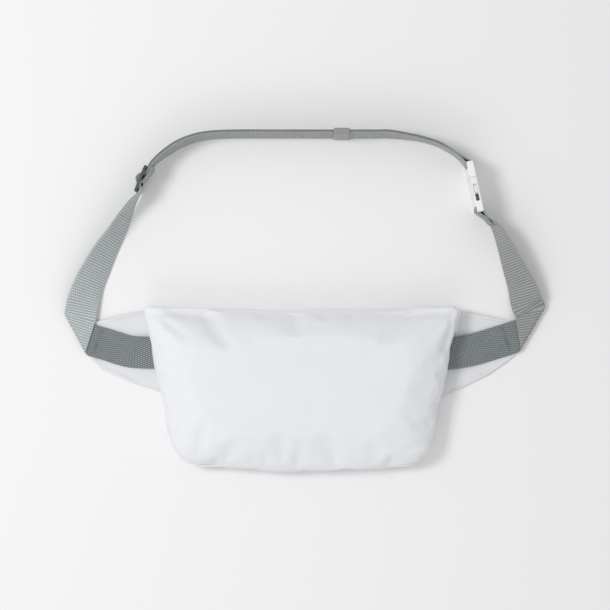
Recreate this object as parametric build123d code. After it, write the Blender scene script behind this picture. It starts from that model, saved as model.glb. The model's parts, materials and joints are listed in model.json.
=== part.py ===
"""Waist-worn throw rope bag, lying on its back with its belt closed above it.

Millimetres, +Z up. The origin is the middle of the bag's flat back, on the surface that it lies on.
+X points to the buckle side and +Y from the bag towards the middle of the belt.
"""
from build123d import *
import math
import os

# Bag: a rounded trapezoid in plan, flat at the back and domed in front
bag_top_width = 288.0
bag_bottom_width = 240.0
bag_height = 152.0
bottom_corner_radius = 28.0
top_corner_radius = 5.0
gusset_height = 22.0
dome_height = 20.0
fabric = 1.6
foam_thickness = 5.0

# Zip, set back under the overhanging top edge
zip_setback = 7.0
zip_length = 272.0
zip_height = 12.0
coil_width = 2.4
coil_gap = 1.2
coil_depth = 2.2
slider_length = 13.0
slider_width = 9.0
slider_plate = 1.3
pull_length = 22.0
pull_width = 7.0
closed_slider_x = 126.0
coil_end_gap = 3.0
pull_pin_radius = 0.7
pull_eye_radius = 1.6

# Belt webbing
webbing_width = 30.0
webbing = 1.5
layer_gap = 0.2
layer_pitch = webbing + layer_gap
wing_thickness = 3.0
wing_gap = 0.1
belt_lean = 6.0
belt_lift = 1.5

# Side-release buckle and tri-glide, both standing on edge
buckle_middle = (158.4, 187.1)
buckle_heading = -77.5
buckle_length = 48.0
buckle_width = 37.0
buckle_thickness = 5.8
glide_middle = (-149.5, 194.5)
glide_heading = 68.0
glide_length = 26.0
glide_width = 38.0
glide_thickness = 2.4
glide_travel = 10.0
bar_radius = 1.7
mouth_x = -8.5
slot_half_width = 15.5
male_bar_x = -21.6
female_bar_x = 22.2
arm_root = (-13.0, 10.5)
arm_root_radius = 2.15
running_clearance = 0.05
arm_thickness = 3.0
cavity_thickness = 3.4

keeper_length = 14.6
keeper_x = 36.0
keeper_wall = 1.0
keeper_clearance = 0.3
arch_top_y = 236.8
arch_straight_start = -62.0
arch_straight_end = 76.0

# The folds at the wing tips, as the middle of each fold line and its heading
left_fold = (-214.0, 49.5)
left_fold_heading = 118.5
left_strap_heading = 67.0
right_fold = (216.0, 54.5)
right_fold_heading = 58.0
right_strap_heading = -75.0
right_loop_heading = -47.0

# Where the wing webbing ends at the bag's side
left_webbing_end = (-141.0, 33.5)
right_webbing_end = (139.0, 32.5)

# Plan points that each strap passes between its fixed ends
left_strap_guide = [(-206.5, 71.0), (-190.5, 115.0), (-174.0, 142.5)]
arch_left_guide = [(-131.0, 216.0), (-110.0, 229.3)]
arch_right_guide = [(106.0, 233.4), (126.0, 227.0)]
arch_end_heading = -40.0
right_strap_guide = [(178.5, 148.0), (191.0, 117.0), (205.0, 85.0)]

left_wing_corners = [(-130.0, -8.0), (-130.0, 74.5), (-197.8, 62.0), (-205.3, 33.0), (-187.0, 17.5)]
right_wing_corners = [
    (130.0, -9.5),
    (130.0, 74.5),
    (204.0, 61.5),
    (206.5, 38.5),
    (191.0, 25.0),
    (172.0, 8.5),
]

# Bar tacks across the wing webbing: middle and webbing heading
bar_tacks = [((-152, 35.5), 170), ((-192, 42.3), 170), ((150, 35.5), 15.5), ((190, 46.5), 15.5)]

# Small fitted features
bar_radius_glide = 1.5
glide_slot_reach = 8.5
cavity_half_width = 16.2
window_start = -2.0
window_end = 13.5
female_slot_x = 18.4
male_slot_x = -17.6
tongue_end = 8.0
arm_width = 3.2
pad_end = 7.0
pad_face = 17.9

# Derived sizes
wing_low = wing_thickness + wing_gap
half_top = bag_top_width / 2
half_bottom = bag_bottom_width / 2
half_height = bag_height / 2
zip_y = half_height - zip_setback
zip_z = zip_height
side_slope = (half_top - half_bottom) / bag_height
loop_radius = bar_radius + layer_gap + webbing / 2


def save(name, *solids):
    """Write one node from its solids."""
    shape = solids[0] if len(solids) == 1 else Compound(children=list(solids))
    export_step(shape, f"parts/{name}.step")


def block(x, y, z):
    """A box from its (low, high) pairs."""
    size = (x[1] - x[0], y[1] - y[0], z[1] - z[0])
    return Pos((x[0] + x[1]) / 2, (y[0] + y[1]) / 2, (z[0] + z[1]) / 2) * Box(*size)


# --- directions in plan -------------------------------------------------------------------------


def along(heading):
    """The unit vector of a heading, in degrees from +X."""
    angle = math.radians(heading)
    return Vector(math.cos(angle), math.sin(angle), 0)


def left_of(heading):
    """The unit vector to the left of a heading, which is the belt's outer side."""
    return along(heading + 90)


def upright_plane(middle, height, heading):
    """A plane on edge: x runs along the heading, y up and z to the belt's inside."""
    return Plane(origin=(*middle, height), x_dir=along(heading), z_dir=left_of(heading) * -1)


# --- bag ----------------------------------------------------------------------------------------


def bag_outline(inset=0.0):
    """The plan outline, moved inwards by inset with its corner radii kept."""
    top = half_height - inset
    bottom = -half_height + inset
    side_inset = inset * math.hypot(1, side_slope)

    def side(y):
        return half_top - side_slope * (half_height - y) - side_inset

    corners = [(-side(top), top), (side(top), top), (side(bottom), bottom), (-side(bottom), bottom)]
    face = make_face(Polyline(*corners, close=True))
    rows = face.vertices().group_by(Axis.Y)
    face = fillet(rows[-1], top_corner_radius)
    return fillet(face.vertices().group_by(Axis.Y)[0], bottom_corner_radius)


def bag_layer(inset, low, high):
    """The outline as a plate between two heights."""
    return Pos(0, 0, low) * extrude(bag_outline(inset), high - low)


def around_the_sides(outer_inset, inner_inset, low, high):
    """A wall round both sides and the bottom, open at the zip."""
    wall = bag_layer(outer_inset, low, high) - bag_layer(inner_inset, low, high)
    keep = block((-bag_top_width, bag_top_width), (-bag_height, zip_y - fabric), (low, high))
    return wall & keep


def dome(inset, low, steps):
    """A ruled dome over the outline, from (extra inset, height) steps."""
    sections = [Pos(0, 0, low + rise) * bag_outline(inset + extra) for extra, rise in steps]
    return loft(sections, ruled=True)


def front_panel():
    """The domed front, with a flat rim that overhangs the zip."""
    steps = [(0, 0), (3, 8), (12, 15), (38, dome_height)]
    inner_steps = [(extra, max(rise - fabric, 0)) for extra, rise in steps]
    outside = dome(0, gusset_height, steps)
    inside = dome(fabric, gusset_height, inner_steps)
    rim_z = (gusset_height, gusset_height + fabric)
    rim = block((-half_top, half_top), (zip_y - fabric, half_height), rim_z)
    return (outside - inside) + (rim & bag_layer(0, *rim_z))


def rope_anchor_loop():
    """A folded webbing loop on the inside of the bottom gusset, for the rope's bag end."""
    depth, spread, wide = 16.0, 4.5, 20.0
    root_y = -half_height + fabric
    middle_z = 13.0
    eye = Plane.YZ * Pos(root_y + depth / 2, middle_z) * RectangleRounded(depth, spread, spread / 2 - 0.01)
    opening = Rectangle(depth - 2 * webbing, spread - 2 * webbing)
    hole = Plane.YZ * Pos(root_y + depth / 2, middle_z) * opening
    return extrude(eye, wide / 2, both=True) - extrude(hole, wide / 2, both=True)


def zip_tape(low, high):
    """One half of the zip tape, from the fabric edge to the coil."""
    return block((-zip_length / 2, zip_length / 2), (zip_y - fabric, zip_y), (low, high))


def zip_coil(side):
    """One row of the coil, above (+1) or below (-1) the zip's middle line."""
    inner = zip_z + side * coil_gap / 2
    outer = inner + side * coil_width
    middle_y = zip_y - fabric / 2
    y_span = (middle_y - coil_depth / 2, middle_y + coil_depth / 2)
    half_length = zip_length / 2 - coil_end_gap
    return block((-half_length, half_length), y_span, (min(inner, outer), max(inner, outer)))


def zip_stops():
    """A metal clip across the coil at each end."""
    middle_y = zip_y - fabric / 2
    for end in (-1, 1):
        x_in = end * (zip_length / 2 - coil_end_gap)
        x_out = end * zip_length / 2
        x_span = (min(x_in, x_out), max(x_in, x_out))
        half_z = coil_width + coil_gap / 2
        yield block(x_span, (zip_y, middle_y + coil_depth / 2 + 0.6), (zip_z - half_z, zip_z + half_z))


def zip_slider():
    """Two plates joined by a thin post between the coil rows, with a bridge for the pull."""
    middle_y = zip_y - fabric / 2
    clear = coil_depth / 2 + 0.3
    x_span = (closed_slider_x - slider_length / 2, closed_slider_x + slider_length / 2)
    z_span = (zip_z - slider_width / 2, zip_z + slider_width / 2)
    front = block(x_span, (middle_y + clear, middle_y + clear + slider_plate), z_span)
    back = block(x_span, (middle_y - clear - slider_plate, middle_y - clear), z_span)
    plates = [fillet(plate.edges().filter_by(Axis.Y), 3.0) for plate in (front, back)]
    post = block(
        (closed_slider_x + 1, closed_slider_x + 5),
        (middle_y - clear, middle_y + clear),
        (zip_z - 0.4, zip_z + 0.4),
    )
    bridge_base_y = middle_y + clear + slider_plate
    ears = [
        block(
            (closed_slider_x - 2, closed_slider_x + 2),
            (bridge_base_y, bridge_base_y + 3.2),
            (zip_z + side * 4 - 0.5, zip_z + side * 4 + 0.5),
        )
        for side in (-1, 1)
    ]
    pin = Pos(*pull_axis()) * Cylinder(pull_pin_radius, 8.0)
    return plates[0] + plates[1] + post + ears[0] + ears[1] + pin


def pull_axis():
    """The middle of the pull's hinge pin, which runs along Z."""
    front_y = zip_y - fabric / 2 + coil_depth / 2 + 0.3 + slider_plate
    return (closed_slider_x, front_y + 1.9, zip_z)


def zip_pull():
    """The tab, lying along the zip, with an eye that turns on the slider's pin."""
    x, y, z = pull_axis()
    eye = Cylinder(pull_eye_radius, 6.4)
    tab = block((-pull_length, -1.0), (-0.7, 0.7), (-pull_width / 2, pull_width / 2))
    tab = fillet(tab.edges().filter_by(Axis.Y).group_by(Axis.X)[0], 2.0)
    tab -= block((-3.0, 0), (-2, 2), (3.2, pull_width)) + block((-3.0, 0), (-2, 2), (-pull_width, -3.2))
    grip_hole = Pos(-pull_length + 6, 0, 0) * Rot(90, 0, 0) * Cylinder(1.6, 4)
    bore = Cylinder(pull_pin_radius + running_clearance, 8.0)
    return Pos(x, y, z) * (eye + tab - bore - grip_hole)


# --- wings --------------------------------------------------------------------------------------


def wing(corners):
    """A flat padded wing from its plan corners, trimmed to the bag's side."""
    face = make_face(Polyline(*corners, close=True))
    plate = extrude(face, wing_thickness)
    return plate - bag_layer(0, -1, gusset_height)


def wing_seam_tape(side):
    """The narrow tape over the seam where a wing meets the bag."""
    top = (half_top - side_slope * 3, half_height - 3)
    low = (half_top - side_slope * 24, half_height - 24)
    corners = [top, (top[0] + 6, top[1]), (low[0] + 6, low[1]), low]
    face = make_face(Polyline(*[(side * x, y) for x, y in corners], close=True))
    tape = Pos(0, 0, wing_thickness) * extrude(face, 0.8)
    return tape - bag_layer(0, -1, gusset_height)


def flat_strap(start, end, low, thickness):
    """A flat length of webbing between two plan points, lying at a height."""
    run = Vector(*end) - Vector(*start)
    heading = math.degrees(math.atan2(run.Y, run.X))
    plate = block((0, run.length), (-webbing_width / 2, webbing_width / 2), (low, low + thickness))
    return Pos(*start, 0) * Rot(0, 0, heading) * plate


def half_space(point, heading, side):
    """A big block on one side (+1 left, -1 right) of a plan line."""
    reach = 400.0
    slab = block((-reach, reach), (0, reach) if side > 0 else (-reach, 0), (-50, 100))
    return Pos(*point, 0) * Rot(0, 0, heading) * slab


# --- straps on a curved line --------------------------------------------------------------------


def ribbon(stations):
    """Webbing through (plan point, heading, lean, lowest edge) stations.

    Lean is the tilt of the webbing's width from upright to the belt's outer side.
    """
    sections = []
    for point, heading, lean, lowest in stations:
        tilt = math.radians(lean)
        across = Vector(0, 0, math.cos(tilt)) + left_of(heading) * math.sin(tilt)
        height = lowest + webbing_width / 2 * math.cos(tilt) + webbing / 2 * math.sin(tilt)
        plane = Plane(origin=(point.X, point.Y, height), x_dir=across, z_dir=along(heading))
        sections.append((plane * Rectangle(webbing_width, webbing)).wire())
    return Solid.make_loft(sections, ruled=True)


def between(pairs, u):
    """Straight-line values between hand-chosen (place, value) pairs."""
    for (u0, v0), (u1, v1) in zip(pairs, pairs[1:]):
        if u <= u1:
            return v0 + (v1 - v0) * (u - u0) / (u1 - u0)
    return pairs[-1][1]


def spline_stations(points, headings, count, leans, lifts, offset=0.0):
    """Evenly spaced stations on a smooth plan line, moved to its outer side by offset."""
    curve = Spline(*points, tangents=(along(headings[0]), along(headings[1])))
    stations = []
    for i in range(count + 1):
        u = i / count
        tangent = curve % u
        heading = math.degrees(math.atan2(tangent.Y, tangent.X))
        point = (curve @ u) + left_of(heading) * offset
        stations.append((point, heading, between(leans, u), between(lifts, u)))
    return stations


glide_plane = upright_plane(glide_middle, glide_width / 2, glide_heading)
buckle_plane = upright_plane(buckle_middle, buckle_width / 2, buckle_heading)
glide_lift = (glide_width - webbing_width) / 2
buckle_lift = (buckle_width - webbing_width) / 2
under_bar = glide_thickness / 2 + layer_gap + webbing / 2
glide_exit = glide_length / 2 + 1.0


def plan_point(plane, x, z):
    """A plan point from an upright plane's x and its inward z."""
    point = plane.from_local_coords(Vector(x, 0, z))
    return (point.X, point.Y)


def bar_stations(plane, plane_heading, lift, places):
    """Stations from (x, inward z, turn) places on an upright plane, turned towards the inside."""
    return [
        (Vector(*plan_point(plane, x, z)), plane_heading - turn, 0.0, lift)
        for x, z, turn in places
    ]


def round_bar(bar_x, radius, turns):
    """Places round a bar where the strap points along each turn, the bar on its inner side."""
    return [
        (bar_x + radius * math.sin(math.radians(turn)), -radius * math.cos(math.radians(turn)), turn)
        for turn in turns
    ]


# --- belt ---------------------------------------------------------------------------------------


def wing_webbing(side):
    """The webbing sewn along a wing, cut off at the fold."""
    fold, fold_heading, end = (
        (left_fold, left_fold_heading, left_webbing_end)
        if side < 0
        else (right_fold, right_fold_heading, right_webbing_end)
    )
    outwards = (Vector(*fold) - Vector(*end)).normalized() * 25
    past_fold = (fold[0] + outwards.X, fold[1] + outwards.Y)
    strap = flat_strap(end, past_fold, wing_low, webbing)
    return strap & half_space(fold, fold_heading, side) - bag_layer(0, -1, gusset_height)


def fold_roll(fold, fold_heading, length):
    """The rounded fold that joins the two layers at a wing tip."""
    low = wing_low
    radius = (2 * webbing + layer_gap) / 2
    middle = Pos(*fold, low + radius) * Rot(0, 0, fold_heading) * Rot(0, 90, 0)
    core = Cylinder(layer_gap / 2, length + 2)
    return middle * (Cylinder(radius, length) - core)


def left_belt_strap():
    """From the fold at the left wing tip to the tri-glide, turning from flat to on edge."""
    over_wing = wing_low + layer_pitch
    points = [left_fold, *left_strap_guide, plan_point(glide_plane, -glide_exit - glide_travel, under_bar)]
    leans = [(0, 90), (0.16, 84), (0.34, 58), (0.6, 34), (0.85, 8), (1, 0)]
    lifts = [(0, over_wing), (0.2, over_wing), (0.42, 0.3), (0.75, 0.3), (1, glide_lift)]
    stations = spline_stations(points, (left_strap_heading, glide_heading), 14, leans, lifts)
    back = along(left_strap_heading) * 20
    lead_in = (Vector(*left_fold) - back, left_strap_heading, 90, over_wing)
    lead_out = (Vector(*plan_point(glide_plane, -glide_exit, under_bar)), glide_heading, 0, glide_lift)
    strap = ribbon([lead_in, *stations, lead_out]) & half_space(left_fold, left_fold_heading, -1)
    roll = fold_roll(left_fold, left_fold_heading, webbing_width + 6)
    return strap + (roll & half_space(left_fold, left_fold_heading, 1))


def strap_through_glide():
    """The strap's rise through the tri-glide, over its middle bar and down again."""
    over = bar_radius_glide + layer_gap + webbing / 2 + layer_pitch
    reach = over * math.sin(math.radians(45)) + (under_bar + over * math.cos(math.radians(45)))
    turns = [-45, -30, -15, 0, 15, 30, 45]
    places = [
        (-glide_exit, under_bar, 0),
        (-reach - 1.0, under_bar, 0),
        (-reach + 0.6, under_bar - 0.6, -45),
        *round_bar(0, over, turns),
        (reach - 0.6, under_bar - 0.6, 45),
        (reach + 1.0, under_bar, 0),
        (glide_exit, under_bar, 0),
    ]
    return ribbon(bar_stations(glide_plane, glide_heading, glide_lift, places))


def strap_end_loop():
    """The strap's sewn end, folded round the tri-glide's middle bar."""
    radius = bar_radius_glide + layer_gap + webbing / 2
    second_layer = under_bar + layer_pitch
    third_layer = second_layer + layer_pitch
    reach = radius * math.sin(math.radians(45)) + (second_layer + radius * math.cos(math.radians(45)))
    rise = math.radians(25)
    tail_x = (third_layer - radius * math.cos(rise)) / math.tan(rise) - radius * math.sin(rise)
    places = [
        (glide_exit, third_layer, -180),
        (tail_x + 1.0, third_layer, -180),
        (tail_x - 0.8, third_layer - 0.4, -155),
        *round_bar(0, radius, [-155, -130, -100, -70, -40, -10, 20, 45]),
        (reach - 0.6, second_layer - 0.6, 45),
        (reach + 1.0, second_layer, 0),
        (glide_exit, second_layer, 0),
    ]
    return ribbon(bar_stations(glide_plane, glide_heading, glide_lift, places))


def arch_stations(first_x, last_x, offset):
    """Stations on the belt's arch, from the tri-glide's exit to its split by the buckle."""
    exit_point = plan_point(glide_plane, glide_exit, under_bar + layer_pitch / 2)
    straight = [(arch_straight_start, arch_top_y), (arch_straight_end, arch_top_y)]
    rise = spline_stations(
        [exit_point, *arch_left_guide, straight[0]],
        (glide_heading, 0),
        12,
        [(0, 0), (0.5, belt_lean), (1, belt_lean)],
        [(0, glide_lift), (0.5, belt_lift), (1, belt_lift)],
        offset,
    )
    fall = spline_stations(
        [straight[1], *arch_right_guide, arch_end],
        (0, arch_end_heading),
        12,
        [(0, belt_lean), (0.45, 0), (1, 0)],
        [(0, belt_lift), (0.45, belt_lift), (1, buckle_lift)],
        offset,
    )
    return [s for s in rise + fall if first_x <= s[0].X <= last_x]


def split_station(offset):
    """The shared station where the arch ends and the buckle loop begins."""
    point = Vector(*arch_split) + left_of(arch_split_heading) * offset
    return (point, arch_split_heading, 0.0, belt_lift)


def long_strap(offset):
    """One layer of the belt's arch, from the tri-glide to the buckle loop."""
    return ribbon([*arch_stations(-bag_top_width, arch_split[0] - 3, offset), split_station(offset)])


def strap_buckle_loop():
    """The last of both layers, as one length folded round the male half's bar."""
    outer = arch_stations(arch_split[0] + 3, bag_top_width, layer_pitch / 2)
    inner = arch_stations(arch_split[0] + 3, bag_top_width, -layer_pitch / 2)
    turned = arch_end_heading - buckle_heading
    fold_places = round_bar(male_bar_x, loop_radius, [-turned + step for step in range(0, 181, 30)])
    fold = bar_stations(buckle_plane, buckle_heading, buckle_lift, fold_places)
    back = [(point, heading + 180, -lean, lowest) for point, heading, lean, lowest in reversed(inner)]
    end = split_station(-layer_pitch / 2)
    end = (end[0], end[1] + 180, 0.0, end[3])
    return ribbon([split_station(layer_pitch / 2), *outer, *fold, *back, end])


def right_belt_strap():
    """From its sewn tail round the female half's bar and down to the right wing tip."""
    over_wing = wing_low + layer_pitch
    turned = right_loop_heading - buckle_heading
    bar = Vector(*plan_point(buckle_plane, female_bar_x, 0))
    ahead, outside = along(right_loop_heading), left_of(right_loop_heading)
    tail = [
        (bar + ahead * run - outside * off, right_loop_heading + 180, 0.0, buckle_lift)
        for run, off in ((17, 0.85), (8, 0.85), (5, 1.5), (2, 2.4))
    ]
    places = round_bar(female_bar_x, loop_radius, [180 - turned + step for step in range(0, 181, 30)])
    fold = bar_stations(buckle_plane, buckle_heading, buckle_lift, places)
    start = bar + ahead * 8 + outside * 0.85
    lead = [
        (bar + ahead * run + outside * off, right_loop_heading, 0.0, buckle_lift)
        for run, off in ((2, 2.4), (5, 1.5))
    ]
    leans = [(0, 0), (0.35, 5), (0.52, 12), (0.72, 34), (0.88, 62), (1, 90)]
    lifts = [(0, buckle_lift), (0.3, 0.3), (0.66, 0.3), (0.84, over_wing), (1, over_wing)]
    points = [(start.X, start.Y), *right_strap_guide, right_fold]
    run = spline_stations(points, (right_loop_heading, right_strap_heading), 16, leans, lifts)
    forward = along(right_strap_heading) * 20
    lead_out = (Vector(*right_fold) + forward, right_strap_heading, 90, over_wing)
    strap = ribbon([*tail, *fold, *lead, *run, lead_out]) & half_space(right_fold, right_fold_heading, 1)
    roll = fold_roll(right_fold, right_fold_heading, webbing_width + 6)
    return strap + (roll & half_space(right_fold, right_fold_heading, -1))


def keeper():
    """The band that holds both layers of the arch together."""
    leaning = Plane(
        origin=(keeper_x, arch_top_y, belt_lift + webbing_width / 2),
        x_dir=(1, 0, 0),
        z_dir=(0, math.sin(math.radians(belt_lean)), math.cos(math.radians(belt_lean))),
    )
    room_y = webbing + layer_gap + webbing + 2 * keeper_clearance
    room_z = webbing_width + 2 * keeper_clearance
    outside = Box(keeper_length, room_y + 2 * keeper_wall, room_z + 2 * keeper_wall)
    outside = fillet(outside.edges().filter_by(Axis.X), 1.5)
    return leaning * (outside - Box(keeper_length + 1, room_y, room_z))


def tri_glide():
    """A flat frame with two slots and a round middle bar."""
    frame = Box(glide_length, glide_width, glide_thickness)
    frame = fillet(frame.edges().filter_by(Axis.Z), 5.0)
    slots = Box(2 * glide_slot_reach, 2 * slot_half_width, 2 * glide_thickness)
    bar = Rot(90, 0, 0) * Cylinder(bar_radius_glide, 2 * slot_half_width + 1)
    return glide_plane * (frame - slots + bar)


# --- buckle, in its own plane: x from the male bar to the female bar, y up, z to the inside -------


def end_frame(bar_x, open_x, end_x):
    """The open end round a webbing bar: what to cut away and the bar itself."""
    cut = block((min(open_x, end_x), max(open_x, end_x)), (-slot_half_width, slot_half_width), (-9, 9))
    bar = Pos(bar_x, 0, 0) * Rot(90, 0, 0) * Cylinder(bar_radius, 2 * slot_half_width + 1)
    return cut, bar


def buckle_female():
    """The socket, open at its mouth and at both side windows, with a bar at its far end."""
    half_y, half_z = buckle_width / 2, buckle_thickness / 2
    body = block((mouth_x, buckle_length / 2), (-half_y, half_y), (-half_z, half_z))
    body = fillet(body.edges().filter_by(Axis.Z).group_by(Axis.X)[-1], 3.0)
    cavity_z = (-cavity_thickness / 2, cavity_thickness / 2)
    cavity = block((mouth_x - 1, window_end), (-cavity_half_width, cavity_half_width), cavity_z)
    windows = block((window_start, window_end), (-half_y - 1, half_y + 1), cavity_z)
    cut, bar = end_frame(female_bar_x, female_slot_x, buckle_length)
    return buckle_plane * (body - cavity - windows - cut + bar)


def buckle_male():
    """The base with its webbing bar, guide tongue and a round pocket for each arm's root."""
    half_y, half_z = buckle_width / 2, buckle_thickness / 2
    base = block((-buckle_length / 2, mouth_x - 0.1), (-half_y, half_y), (-half_z, half_z))
    base = fillet(base.edges().filter_by(Axis.Z).group_by(Axis.X)[0], 3.0)
    tongue = block((mouth_x - 1, tongue_end), (-3, 3), (-arm_thickness / 2, arm_thickness / 2))
    cut, bar = end_frame(male_bar_x, male_slot_x, -buckle_length)
    male = base + tongue - cut + bar
    for side in (-1, 1):
        x, y = arm_root[0], side * arm_root[1]
        pocket = Pos(x, y, 0) * Cylinder(arm_root_radius + running_clearance, cavity_thickness)
        low = y - side * (arm_width / 2 + 1.0)
        high = y + side * (arm_width / 2 + 0.15)
        cavity_z = (-cavity_thickness / 2, cavity_thickness / 2)
        channel = block((x, 0), (min(low, high), max(low, high)), cavity_z)
        male = male - pocket - channel
    return buckle_plane * male


def buckle_arm(side):
    """A squeeze arm: round root, springy shank and a press pad with the latching shoulder."""
    x, y = arm_root
    inner, outer = y - arm_width / 2, y + arm_width / 2
    profile = [
        (x, inner),
        (pad_end, inner + 1.0),
        (pad_end, pad_face - 2.0),
        (pad_end - 2.0, pad_face),
        (window_start + 0.5, pad_face),
        (window_start + 0.5, outer),
        (x, outer),
    ]
    face = make_face(Polyline(*profile, close=True))
    arm = extrude(face, arm_thickness / 2, both=True)
    arm += Pos(x, y, 0) * Cylinder(arm_root_radius, arm_thickness)
    if side < 0:
        arm = mirror(arm, about=Plane.XZ)
    return buckle_plane * arm


def stitch_bar(point, heading):
    """A raised bar of thread across flat webbing."""
    low = wing_low + webbing
    bar = block((-0.9, 0.9), (-webbing_width / 2 + 2, webbing_width / 2 - 2), (low, low + 0.4))
    return Pos(*point, 0) * Rot(0, 0, heading) * bar


# --- places worked out from the above ---------------------------------------------------------------

bar_centre = plan_point(buckle_plane, male_bar_x, 0)
arch_end = (
    bar_centre[0] - 9.0 * along(arch_end_heading).X,
    bar_centre[1] - 9.0 * along(arch_end_heading).Y,
)
arch_split = arch_right_guide[0]
arch_split_heading = -14.0


def make_bag():
    """The compartment and what is sewn into it."""
    save("back_panel", bag_layer(0, 0, fabric))
    save("side_gusset", around_the_sides(0, fabric, fabric, gusset_height))
    save("front_panel", front_panel())
    save("back_seam_binding", around_the_sides(fabric, 2 * fabric, fabric, fabric + 4))
    save("front_seam_binding", around_the_sides(fabric, 2 * fabric, gusset_height - 4, gusset_height))
    foam = bag_layer(8, fabric, fabric + foam_thickness)
    save("foam_float_panel", foam & block((-half_top, half_top), (-half_height, zip_y - 8), (0, 30)))
    save("rope_anchor_loop", rope_anchor_loop())


def make_zip():
    """The zip along the top edge."""
    coil_reach = coil_width + coil_gap / 2
    save("zip_tape_lower", zip_tape(fabric, zip_z - coil_reach))
    save("zip_tape_upper", zip_tape(zip_z + coil_reach, gusset_height))
    save("zip_coil_lower", zip_coil(-1))
    save("zip_coil_upper", zip_coil(1))
    save("zip_stops", *zip_stops())
    save("zip_slider", zip_slider())
    save("zip_pull", zip_pull())


def make_wings():
    """Both wings with their seam tapes, webbing and bar tacks."""
    save("left_wing", wing(left_wing_corners))
    save("right_wing", wing(right_wing_corners))
    save("left_wing_seam_tape", wing_seam_tape(-1))
    save("right_wing_seam_tape", wing_seam_tape(1))
    save("left_wing_webbing", wing_webbing(-1))
    save("right_wing_webbing", wing_webbing(1))
    save("wing_bar_tacks", *[stitch_bar(point, heading) for point, heading in bar_tacks])


def make_belt():
    """The straps, the keeper and the tri-glide."""
    save("left_belt_strap", left_belt_strap())
    save("strap_through_glide", strap_through_glide())
    save("strap_end_loop", strap_end_loop())
    save("long_strap_outer", long_strap(layer_pitch / 2))
    save("long_strap_inner", long_strap(-layer_pitch / 2))
    save("strap_buckle_loop", strap_buckle_loop())
    save("right_belt_strap", right_belt_strap())
    save("keeper", keeper())
    save("tri_glide", tri_glide())


def make_buckle():
    """Both halves of the side-release buckle."""
    save("buckle_female", buckle_female())
    save("buckle_male", buckle_male())
    save("buckle_arm_upper", buckle_arm(1))
    save("buckle_arm_lower", buckle_arm(-1))


if __name__ == "__main__":
    os.makedirs("parts", exist_ok=True)
    make_bag()
    make_zip()
    make_wings()
    make_belt()
    make_buckle()
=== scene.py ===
import json
import math

import bpy
import numpy as np
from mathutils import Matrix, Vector


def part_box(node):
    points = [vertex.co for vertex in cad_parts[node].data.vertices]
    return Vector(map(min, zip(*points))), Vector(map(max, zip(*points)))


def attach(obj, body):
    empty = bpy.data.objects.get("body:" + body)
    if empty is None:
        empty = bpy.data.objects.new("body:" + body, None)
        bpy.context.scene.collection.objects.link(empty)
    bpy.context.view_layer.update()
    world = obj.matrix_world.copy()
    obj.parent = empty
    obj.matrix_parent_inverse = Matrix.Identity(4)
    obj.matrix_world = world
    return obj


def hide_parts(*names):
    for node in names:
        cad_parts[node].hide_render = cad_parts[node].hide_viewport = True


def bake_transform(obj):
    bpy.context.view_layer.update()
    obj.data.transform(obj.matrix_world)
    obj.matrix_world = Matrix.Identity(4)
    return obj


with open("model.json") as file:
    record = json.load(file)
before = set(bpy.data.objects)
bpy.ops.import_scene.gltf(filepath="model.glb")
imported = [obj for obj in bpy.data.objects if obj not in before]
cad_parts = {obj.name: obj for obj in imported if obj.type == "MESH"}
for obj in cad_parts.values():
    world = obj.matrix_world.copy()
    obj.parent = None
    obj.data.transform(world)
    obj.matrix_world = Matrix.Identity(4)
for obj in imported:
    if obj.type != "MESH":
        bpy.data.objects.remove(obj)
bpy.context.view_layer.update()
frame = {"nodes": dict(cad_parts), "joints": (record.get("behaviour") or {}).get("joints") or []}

MM = 0.001

# The webbing's own sizes, in millimetres
WEBBING_WIDTH = 30.0
WEBBING = 1.5
LAYER_GAP = 0.2
LAYER_PITCH = WEBBING + LAYER_GAP
RIB_PITCH = 2.4
DOT_PITCH = 1.9
SELVEDGE_START = 14.1
ROW_STEP = 0.6
WING_TOP = 3.1


# --- places from the frame ------------------------------------------------------------------------


def mm_box(node):
    """A CAD node's lowest and highest corners in millimetres."""
    low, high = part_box(node)
    return np.array(low) / MM, np.array(high) / MM


def joint(name):
    """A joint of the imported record."""
    return next(j for j in frame["joints"] if j["name"] == name)


def heading_of(axis):
    """The plan heading of an axis, in degrees from +X."""
    return math.degrees(math.atan2(axis[1], axis[0]))


def along(heading):
    """The plan unit vector of a heading."""
    angle = math.radians(heading)
    return np.array([math.cos(angle), math.sin(angle)])


def left_of(heading):
    """The plan unit vector to the left of a heading: the belt's outer side."""
    return along(heading + 90)


def middle_of(node):
    """The plan middle of a CAD node's box, in millimetres."""
    low, high = mm_box(node)
    return (low[:2] + high[:2]) / 2


BAG_LOW, BAG_HIGH = mm_box("back_panel")
DOME_TOP = mm_box("front_panel")[1][2]
SEAM_Z = mm_box("side_gusset")[1][2]
ZIP_Y = mm_box("zip_tape_lower")[1][1]
GLIDE_MIDDLE = middle_of("tri_glide")
GLIDE_HEADING = heading_of(joint("belt_adjust")["axis"])
BUCKLE_HEADING = heading_of(joint("buckle_release")["axis"]) - 180
GLIDE_LIFT = (mm_box("tri_glide")[1][2] - WEBBING_WIDTH) / 2
BUCKLE_LIFT = (mm_box("buckle_female")[1][2] - WEBBING_WIDTH) / 2
ARCH_Y = middle_of("keeper")[1]

# The female half's two ends along the buckle, from the buckle's middle
FEMALE_MOUTH_X = -8.5
FEMALE_END_X = 24.0


def buckle_point(x, z):
    """A plan point from the buckle's own x (male to female) and its inward z."""
    middle = middle_of("buckle_female") - along(BUCKLE_HEADING) * (FEMALE_MOUTH_X + FEMALE_END_X) / 2
    return middle + along(BUCKLE_HEADING) * x - left_of(BUCKLE_HEADING) * z


def glide_point(x, z):
    """A plan point from the tri-glide's own x and its inward z."""
    return GLIDE_MIDDLE + along(GLIDE_HEADING) * x - left_of(GLIDE_HEADING) * z


# --- materials ------------------------------------------------------------------------------------


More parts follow.
